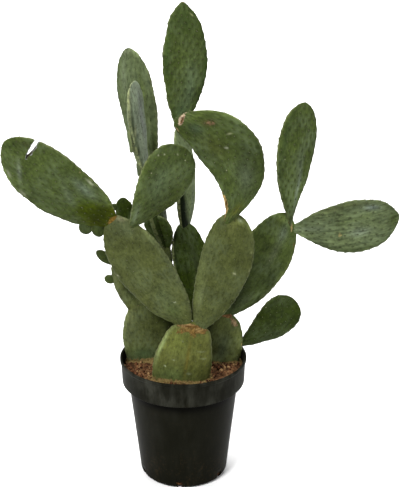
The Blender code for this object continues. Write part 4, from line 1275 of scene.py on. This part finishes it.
for _ in range(STRANDS):
    place = free_place(0.93)
    turn, bend = rng.uniform(0, math.tau), rng.normal() * 40
    run = rng.uniform(8, 24) * MM
    line = []
    for share in np.linspace(0, 1, STRAND_STEPS + 1):
        at = place[:2] + share * run * np.array([math.cos(turn), math.sin(turn)])
        turn += bend * run / STRAND_STEPS * rng.uniform(0.5, 1.5)
        line.append(np.array([*at, soil_height(at[0], at[1], math.hypot(*at), crown_line)
                              + (0.6 + 1.6 * math.sin(share * math.pi)) * MM]))
    if max(math.hypot(p[0], p[1]) for p in line) > soil_radius * 0.98:
        continue
    thick = rng.uniform(0.25, 0.45) * MM
    points = [p + thick * np.array([math.cos(a) * math.sin(turn), math.cos(a) * math.cos(turn), math.sin(a)])
              for p in line for a in THIRDS]
    faces = [(3 * i + j, 3 * i + (j + 1) % 3, 3 * i + 3 + (j + 1) % 3, 3 * i + 3 + j)
             for i in range(STRAND_STEPS) for j in range(3)]
    parts.add(points, faces, 2)

soil = new_piece("soil_crust", parts.mesh("soil_crust", [
    soil_material(), plain_fibre("peat_crumb", "#26160b", "#7a4e30", 4 * MM, 0.95),
    plain_fibre("bark_and_coir", "#7c5a38", "#c09c6c", 5 * MM, 0.9)]))
points = np.array([v.co for v in soil.data.vertices])
rooted = np.min([distance_to(name, points) for name in ROOTED], axis=0)
store(soil.data, "crust", "FLOAT", np.exp(-(rooted / CRUST_REACH) ** 2))
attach(soil, "root")
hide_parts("soil")
print("soil faces", len(soil.data.polygons))

# %% [markdown]
# ## Floor, light and camera
#
# A pale floor and large soft lights show the plant as a nursery would for a catalogue. The lights
# are wide, so that the edges of the shadows are soft and the wax shows no hard highlight.

# %% Stage
FLOOR_SIZE = 24.0


white, _, shader = new_material("matt_white_floor")
shader.inputs["Base Color"].default_value = rgba("#f6f6f6", 1.0)
shader.inputs["Roughness"].default_value = 0.9
shader.inputs["Specular IOR Level"].default_value = 0.0
bpy.ops.mesh.primitive_plane_add(size=FLOOR_SIZE)
floor = bpy.context.object
floor.name = "floor"
floor.data.materials.append(white)

world = bpy.data.worlds.new("soft_white_room")
bpy.context.scene.world = world
world.use_nodes = True
world.node_tree.nodes["Background"].inputs["Color"].default_value = rgba("#ffffff", 1.0)
world.node_tree.nodes["Background"].inputs["Strength"].default_value = 0.34


def soft_light(name, place, aim, size, watts):
    lamp = bpy.data.lights.new(name, "AREA")
    lamp.shape = "DISK"
    lamp.size = size
    lamp.energy = watts
    holder = bpy.data.objects.new(name, lamp)
    bpy.context.scene.collection.objects.link(holder)
    holder.location = place
    holder.rotation_euler = (Vector(aim) - Vector(place)).to_track_quat("-Z", "Y").to_euler()


soft_light("key_light", (-1.5, -2.2, 3.0), (0, 0, 0.4), 1.4, 170)
soft_light("fill_light", (2.6, -2.2, 1.7), (0, 0, 0.45), 2.0, 24)
soft_light("top_light", (0.1, 0.5, 3.4), (0, 0, 0.5), 1.6, 80)
soft_light("floor_light", (0.0, 4.2, 3.2), (0, 4.0, 0.0), 5.0, 300)

CAMERA_PLACE = (0.0318, -2.0, 1.262)
CAMERA_TILT = 21.6
LENS = 87.0

camera = bpy.data.objects.new("camera", bpy.data.cameras.new("camera"))
camera.data.lens = LENS
camera.location = CAMERA_PLACE
camera.rotation_euler = (math.radians(90 - CAMERA_TILT), 0, 0)
bpy.context.scene.collection.objects.link(camera)
bpy.context.scene.camera = camera
bpy.context.scene.view_settings.view_transform = "Standard"
